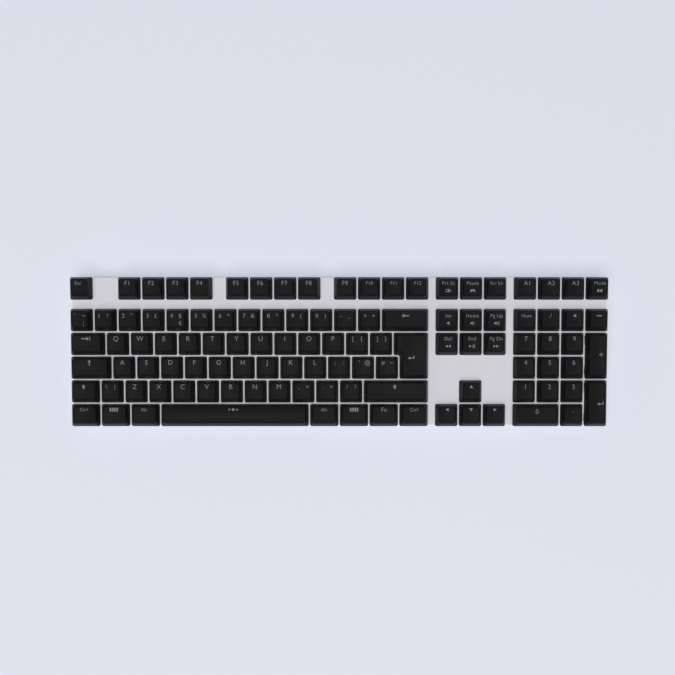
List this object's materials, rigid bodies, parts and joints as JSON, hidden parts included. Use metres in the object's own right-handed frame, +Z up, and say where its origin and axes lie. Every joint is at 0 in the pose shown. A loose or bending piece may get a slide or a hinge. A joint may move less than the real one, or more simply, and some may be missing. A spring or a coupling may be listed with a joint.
{
  "type": "mechanical keyboard",
  "caption": "Full-size mechanical keyboard in the ISO layout: sculpted black caps on sliding sprung switches, bezel-free pale wedge body, fold-out rear feet.",
  "frame": {"origin": "on the desk, under the middle of the whole keyboard's box", "axes": "+X to the right, +Y away from the user, +Z up from the desk"},
  "size_m": [0.4276, 0.1206, 0.0431],
  "materials": {
    "keycap": "fine satin texture, double-shot pale grey legends",
    "tray": "fine moulded texture",
    "plate": "powder coat",
    "board": "solder mask",
    "component": "moulded epoxy",
    "switch_shell": "milky moulded",
    "stabiliser_plastic": "moulded",
    "spring_steel": "drawn wire",
    "contact_metal": "stamped leaf",
    "brass": "turned",
    "screw_steel": "zinc plated",
    "socket_steel": "drawn shell",
    "rubber": "moulded rubber"
  },
  "bodies": {
    "body": {"board_components": "component", "bottom_tray": "tray", "circuit_board": "board", "plate_standoffs": "brass", "rubber_feet": "rubber", "socket_inlet": "socket_steel", "stabiliser_housings": "stabiliser_plastic", "switch_contacts": "contact_metal", "switch_covers": "switch_shell", "switch_housings": "switch_shell", "switch_plate": "plate", "switch_springs": "spring_steel", "tray_screws": "screw_steel"},
    "key_escape": {"key_escape": "keycap"},
    "keys_f1_to_f4": {"keys_f1_to_f4": "keycap"},
    "keys_f5_to_f8": {"keys_f5_to_f8": "keycap"},
    "keys_f9_to_f12": {"keys_f9_to_f12": "keycap"},
    "keys_print_scroll_pause": {"keys_print_scroll_pause": "keycap"},
    "keys_macro_and_mode": {"keys_macro_and_mode": "keycap"},
    "keys_number_row": {"keys_number_row": "keycap"},
    "key_backspace": {"key_backspace": "keycap"},
    "keys_insert_home_page_up": {"keys_insert_home_page_up": "keycap"},
    "keys_numpad_operators": {"keys_numpad_operators": "keycap"},
    "key_tab": {"key_tab": "keycap"},
    "keys_letters_upper": {"keys_letters_upper": "keycap"},
    "keys_delete_end_page_down": {"keys_delete_end_page_down": "keycap"},
    "keys_numpad_789": {"keys_numpad_789": "keycap"},
    "key_caps_lock": {"key_caps_lock": "keycap"},
    "keys_letters_home": {"keys_letters_home": "keycap"},
    "keys_numpad_456": {"keys_numpad_456": "keycap"},
    "key_shift_left": {"key_shift_left": "keycap"},
    "keys_letters_lower": {"keys_letters_lower": "keycap"},
    "key_shift_right": {"key_shift_right": "keycap"},
    "key_arrow_up": {"key_arrow_up": "keycap"},
    "keys_numpad_123": {"keys_numpad_123": "keycap"},
    "key_control_left": {"key_control_left": "keycap"},
    "key_system_left": {"key_system_left": "keycap"},
    "key_alt_left": {"key_alt_left": "keycap"},
    "key_space": {"key_space": "keycap"},
    "key_alt_right": {"key_alt_right": "keycap"},
    "key_system_right": {"key_system_right": "keycap"},
    "key_layer": {"key_layer": "keycap"},
    "key_control_right": {"key_control_right": "keycap"},
    "key_arrow_left": {"key_arrow_left": "keycap"},
    "key_arrow_down": {"key_arrow_down": "keycap"},
    "key_arrow_right": {"key_arrow_right": "keycap"},
    "key_numpad_0": {"key_numpad_0": "keycap"},
    "key_numpad_point": {"key_numpad_point": "keycap"},
    "key_numpad_plus": {"key_numpad_plus": "keycap"},
    "key_numpad_enter": {"key_numpad_enter": "keycap"},
    "key_enter": {"key_enter": "keycap"},
    "wire_backspace": {"wire_backspace": "spring_steel"},
    "wire_shift_right": {"wire_shift_right": "spring_steel"},
    "wire_space": {"wire_space": "spring_steel"},
    "wire_numpad_0": {"wire_numpad_0": "spring_steel"},
    "wire_numpad_plus": {"wire_numpad_plus": "spring_steel"},
    "wire_numpad_enter": {"wire_numpad_enter": "spring_steel"},
    "wire_enter": {"wire_enter": "spring_steel"},
    "tilt_foot_left": {"tilt_foot_left": "tray"},
    "tilt_foot_right": {"tilt_foot_right": "tray"}
  },
  "joints": [
    {"name": "key_escape_press", "type": "slide", "parent": "body", "child": "key_escape", "axis": [0, 0.0785, -0.9969], "range_m": [0, 0.004], "stiffness_N_per_m": 80, "springref_m": -0.004, "deforming": ["switch_springs"]},
    {"name": "keys_f1_to_f4_press", "type": "slide", "parent": "body", "child": "keys_f1_to_f4", "axis": [0, 0.0785, -0.9969], "range_m": [0, 0.004], "stiffness_N_per_m": 320, "springref_m": -0.004, "deforming": ["switch_springs"]},
    {"name": "keys_f5_to_f8_press", "type": "slide", "parent": "body", "child": "keys_f5_to_f8", "axis": [0, 0.0785, -0.9969], "range_m": [0, 0.004], "stiffness_N_per_m": 320, "springref_m": -0.004, "deforming": ["switch_springs"]},
    {"name": "keys_f9_to_f12_press", "type": "slide", "parent": "body", "child": "keys_f9_to_f12", "axis": [0, 0.0785, -0.9969], "range_m": [0, 0.004], "stiffness_N_per_m": 320, "springref_m": -0.004, "deforming": ["switch_springs"]},
    {"name": "keys_print_scroll_pause_press", "type": "slide", "parent": "body", "child": "keys_print_scroll_pause", "axis": [0, 0.0785, -0.9969], "range_m": [0, 0.004], "stiffness_N_per_m": 240, "springref_m": -0.004, "deforming": ["switch_springs"]},
    {"name": "keys_macro_and_mode_press", "type": "slide", "parent": "body", "child": "keys_macro_and_mode", "axis": [0, 0.0785, -0.9969], "range_m": [0, 0.004], "stiffness_N_per_m": 320, "springref_m": -0.004, "deforming": ["switch_springs"]},
    {"name": "keys_number_row_press", "type": "slide", "parent": "body", "child": "keys_number_row", "axis": [0, 0.0785, -0.9969], "range_m": [0, 0.004], "stiffness_N_per_m": 1040, "springref_m": -0.004, "deforming": ["switch_springs"]},
    {"name": "key_backspace_press", "type": "slide", "parent": "body", "child": "key_backspace", "axis": [0, 0.0785, -0.9969], "range_m": [0, 0.004], "stiffness_N_per_m": 80, "springref_m": -0.004, "deforming": ["switch_springs"]},
    {"name": "keys_insert_home_page_up_press", "type": "slide", "parent": "body", "child": "keys_insert_home_page_up", "axis": [0, 0.0785, -0.9969], "range_m": [0, 0.004], "stiffness_N_per_m": 240, "springref_m": -0.004, "deforming": ["switch_springs"]},
    {"name": "keys_numpad_operators_press", "type": "slide", "parent": "body", "child": "keys_numpad_operators", "axis": [0, 0.0785, -0.9969], "range_m": [0, 0.004], "stiffness_N_per_m": 320, "springref_m": -0.004, "deforming": ["switch_springs"]},
    {"name": "key_tab_press", "type": "slide", "parent": "body", "child": "key_tab", "axis": [0, 0.0785, -0.9969], "range_m": [0, 0.004], "stiffness_N_per_m": 80, "springref_m": -0.004, "deforming": ["switch_springs"]},
    {"name": "keys_letters_upper_press", "type": "slide", "parent": "body", "child": "keys_letters_upper", "axis": [0, 0.0785, -0.9969], "range_m": [0, 0.004], "stiffness_N_per_m": 960, "springref_m": -0.004, "deforming": ["switch_springs"]},
    {"name": "keys_delete_end_page_down_press", "type": "slide", "parent": "body", "child": "keys_delete_end_page_down", "axis": [0, 0.0785, -0.9969], "range_m": [0, 0.004], "stiffness_N_per_m": 240, "springref_m": -0.004, "deforming": ["switch_springs"]},
    {"name": "keys_numpad_789_press", "type": "slide", "parent": "body", "child": "keys_numpad_789", "axis": [0, 0.0785, -0.9969], "range_m": [0, 0.004], "stiffness_N_per_m": 240, "springref_m": -0.004, "deforming": ["switch_springs"]},
    {"name": "key_caps_lock_press", "type": "slide", "parent": "body", "child": "key_caps_lock", "axis": [0, 0.0785, -0.9969], "range_m": [0, 0.004], "stiffness_N_per_m": 80, "springref_m": -0.004, "deforming": ["switch_springs"]},
    {"name": "keys_letters_home_press", "type": "slide", "parent": "body", "child": "keys_letters_home", "axis": [0, 0.0785, -0.9969], "range_m": [0, 0.004], "stiffness_N_per_m": 960, "springref_m": -0.004, "deforming": ["switch_springs"]},
    {"name": "keys_numpad_456_press", "type": "slide", "parent": "body", "child": "keys_numpad_456", "axis": [0, 0.0785, -0.9969], "range_m": [0, 0.004], "stiffness_N_per_m": 240, "springref_m": -0.004, "deforming": ["switch_springs"]},
    {"name": "key_shift_left_press", "type": "slide", "parent": "body", "child": "key_shift_left", "axis": [0, 0.0785, -0.9969], "range_m": [0, 0.004], "stiffness_N_per_m": 80, "springref_m": -0.004, "deforming": ["switch_springs"]},
    {"name": "keys_letters_lower_press", "type": "slide", "parent": "body", "child": "keys_letters_lower", "axis": [0, 0.0785, -0.9969], "range_m": [0, 0.004], "stiffness_N_per_m": 880, "springref_m": -0.004, "deforming": ["switch_springs"]},
    {"name": "key_shift_right_press", "type": "slide", "parent": "body", "child": "key_shift_right", "axis": [0, 0.0785, -0.9969], "range_m": [0, 0.004], "stiffness_N_per_m": 80, "springref_m": -0.004, "deforming": ["switch_springs"]},
    {"name": "key_arrow_up_press", "type": "slide", "parent": "body", "child": "key_arrow_up", "axis": [0, 0.0785, -0.9969], "range_m": [0, 0.004], "stiffness_N_per_m": 80, "springref_m": -0.004, "deforming": ["switch_springs"]},
    {"name": "keys_numpad_123_press", "type": "slide", "parent": "body", "child": "keys_numpad_123", "axis": [0, 0.0785, -0.9969], "range_m": [0, 0.004], "stiffness_N_per_m": 240, "springref_m": -0.004, "deforming": ["switch_springs"]},
    {"name": "key_control_left_press", "type": "slide", "parent": "body", "child": "key_control_left", "axis": [0, 0.0785, -0.9969], "range_m": [0, 0.004], "stiffness_N_per_m": 80, "springref_m": -0.004, "deforming": ["switch_springs"]},
    {"name": "key_system_left_press", "type": "slide", "parent": "body", "child": "key_system_left", "axis": [0, 0.0785, -0.9969], "range_m": [0, 0.004], "stiffness_N_per_m": 80, "springref_m": -0.004, "deforming": ["switch_springs"]},
    {"name": "key_alt_left_press", "type": "slide", "parent": "body", "child": "key_alt_left", "axis": [0, 0.0785, -0.9969], "range_m": [0, 0.004], "stiffness_N_per_m": 80, "springref_m": -0.004, "deforming": ["switch_springs"]},
    {"name": "key_space_press", "type": "slide", "parent": "body", "child": "key_space", "axis": [0, 0.0785, -0.9969], "range_m": [0, 0.004], "stiffness_N_per_m": 128, "springref_m": -0.004, "deforming": ["switch_springs"]},
    {"name": "key_alt_right_press", "type": "slide", "parent": "body", "child": "key_alt_right", "axis": [0, 0.0785, -0.9969], "range_m": [0, 0.004], "stiffness_N_per_m": 80, "springref_m": -0.004, "deforming": ["switch_springs"]},
    {"name": "key_system_right_press", "type": "slide", "parent": "body", "child": "key_system_right", "axis": [0, 0.0785, -0.9969], "range_m": [0, 0.004], "stiffness_N_per_m": 80, "springref_m": -0.004, "deforming": ["switch_springs"]},
    {"name": "key_layer_press", "type": "slide", "parent": "body", "child": "key_layer", "axis": [0, 0.0785, -0.9969], "range_m": [0, 0.004], "stiffness_N_per_m": 80, "springref_m": -0.004, "deforming": ["switch_springs"]},
    {"name": "key_control_right_press", "type": "slide", "parent": "body", "child": "key_control_right", "axis": [0, 0.0785, -0.9969], "range_m": [0, 0.004], "stiffness_N_per_m": 80, "springref_m": -0.004, "deforming": ["switch_springs"]},
    {"name": "key_arrow_left_press", "type": "slide", "parent": "body", "child": "key_arrow_left", "axis": [0, 0.0785, -0.9969], "range_m": [0, 0.004], "stiffness_N_per_m": 80, "springref_m": -0.004, "deforming": ["switch_springs"]},
    {"name": "key_arrow_down_press", "type": "slide", "parent": "body", "child": "key_arrow_down", "axis": [0, 0.0785, -0.9969], "range_m": [0, 0.004], "stiffness_N_per_m": 80, "springref_m": -0.004, "deforming": ["switch_springs"]},
    {"name": "key_arrow_right_press", "type": "slide", "parent": "body", "child": "key_arrow_right", "axis": [0, 0.0785, -0.9969], "range_m": [0, 0.004], "stiffness_N_per_m": 80, "springref_m": -0.004, "deforming": ["switch_springs"]},
    {"name": "key_numpad_0_press", "type": "slide", "parent": "body", "child": "key_numpad_0", "axis": [0, 0.0785, -0.9969], "range_m": [0, 0.004], "stiffness_N_per_m": 80, "springref_m": -0.004, "deforming": ["switch_springs"]},
    {"name": "key_numpad_point_press", "type": "slide", "parent": "body", "child": "key_numpad_point", "axis": [0, 0.0785, -0.9969], "range_m": [0, 0.004], "stiffness_N_per_m": 80, "springref_m": -0.004, "deforming": ["switch_springs"]},
    {"name": "key_numpad_plus_press", "type": "slide", "parent": "body", "child": "key_numpad_plus", "axis": [0, 0.0785, -0.9969], "range_m": [0, 0.004], "stiffness_N_per_m": 80, "springref_m": -0.004, "deforming": ["switch_springs"]},
    {"name": "key_numpad_enter_press", "type": "slide", "parent": "body", "child": "key_numpad_enter", "axis": [0, 0.0785, -0.9969], "range_m": [0, 0.004], "stiffness_N_per_m": 80, "springref_m": -0.004, "deforming": ["switch_springs"]},
    {"name": "key_enter_press", "type": "slide", "parent": "body", "child": "key_enter", "axis": [0, 0.0785, -0.9969], "range_m": [0, 0.004], "stiffness_N_per_m": 80, "springref_m": -0.004, "deforming": ["switch_springs"]},
    {"name": "wire_backspace_turn", "type": "hinge", "parent": "body", "child": "wire_backspace", "pos_m": [0.05239, 0.0168, 0.01846], "axis": [-1, 0, 0], "range_deg": [0, 26.08]},
    {"name": "wire_shift_right_turn", "type": "hinge", "parent": "body", "child": "wire_shift_right", "pos_m": [0.04524, -0.04018, 0.01397], "axis": [-1, 0, 0], "range_deg": [0, 26.08]},
    {"name": "wire_space_turn", "type": "hinge", "parent": "body", "child": "wire_space", "pos_m": [-0.08334, -0.04202, 0.01383], "axis": [1, 0, 0], "range_deg": [0, 26.08]},
    {"name": "wire_numpad_0_turn", "type": "hinge", "parent": "body", "child": "wire_numpad_0", "pos_m": [0.15716, -0.04202, 0.01383], "axis": [1, 0, 0], "range_deg": [0, 26.08]},
    {"name": "wire_numpad_plus_turn", "type": "hinge", "parent": "body", "child": "wire_numpad_plus", "pos_m": [0.19619, -0.00312, 0.01689], "axis": [0, 0.9969, 0.0785], "range_deg": [0, 26.08]},
    {"name": "wire_numpad_enter_turn", "type": "hinge", "parent": "body", "child": "wire_numpad_enter", "pos_m": [0.19619, -0.0411, 0.0139], "axis": [0, 0.9969, 0.0785], "range_deg": [0, 26.08]},
    {"name": "wire_enter_turn", "type": "hinge", "parent": "body", "child": "wire_enter", "pos_m": [0.05093, -0.00312, 0.01689], "axis": [0, 0.9969, 0.0785], "range_deg": [0, 26.08]},
    {"name": "tilt_foot_left_fold", "type": "hinge", "parent": "body", "child": "tilt_foot_left", "pos_m": [-0.15931, 0.04501, 0.0041], "axis": [1, 0, 0], "range_deg": [0, 100]},
    {"name": "tilt_foot_right_fold", "type": "hinge", "parent": "body", "child": "tilt_foot_right", "pos_m": [0.15931, 0.04501, 0.0041], "axis": [1, 0, 0], "range_deg": [0, 100]}
  ],
  "couplings": [
    {"joint": "wire_backspace_turn", "follows": "key_backspace_press", "rad_per_m": 113.74},
    {"joint": "wire_shift_right_turn", "follows": "key_shift_right_press", "rad_per_m": 113.74},
    {"joint": "wire_space_turn", "follows": "key_space_press", "rad_per_m": 113.74},
    {"joint": "wire_numpad_0_turn", "follows": "key_numpad_0_press", "rad_per_m": 113.74},
    {"joint": "wire_numpad_plus_turn", "follows": "key_numpad_plus_press", "rad_per_m": 113.74},
    {"joint": "wire_numpad_enter_turn", "follows": "key_numpad_enter_press", "rad_per_m": 113.74},
    {"joint": "wire_enter_turn", "follows": "key_enter_press", "rad_per_m": 113.74}
  ]
}
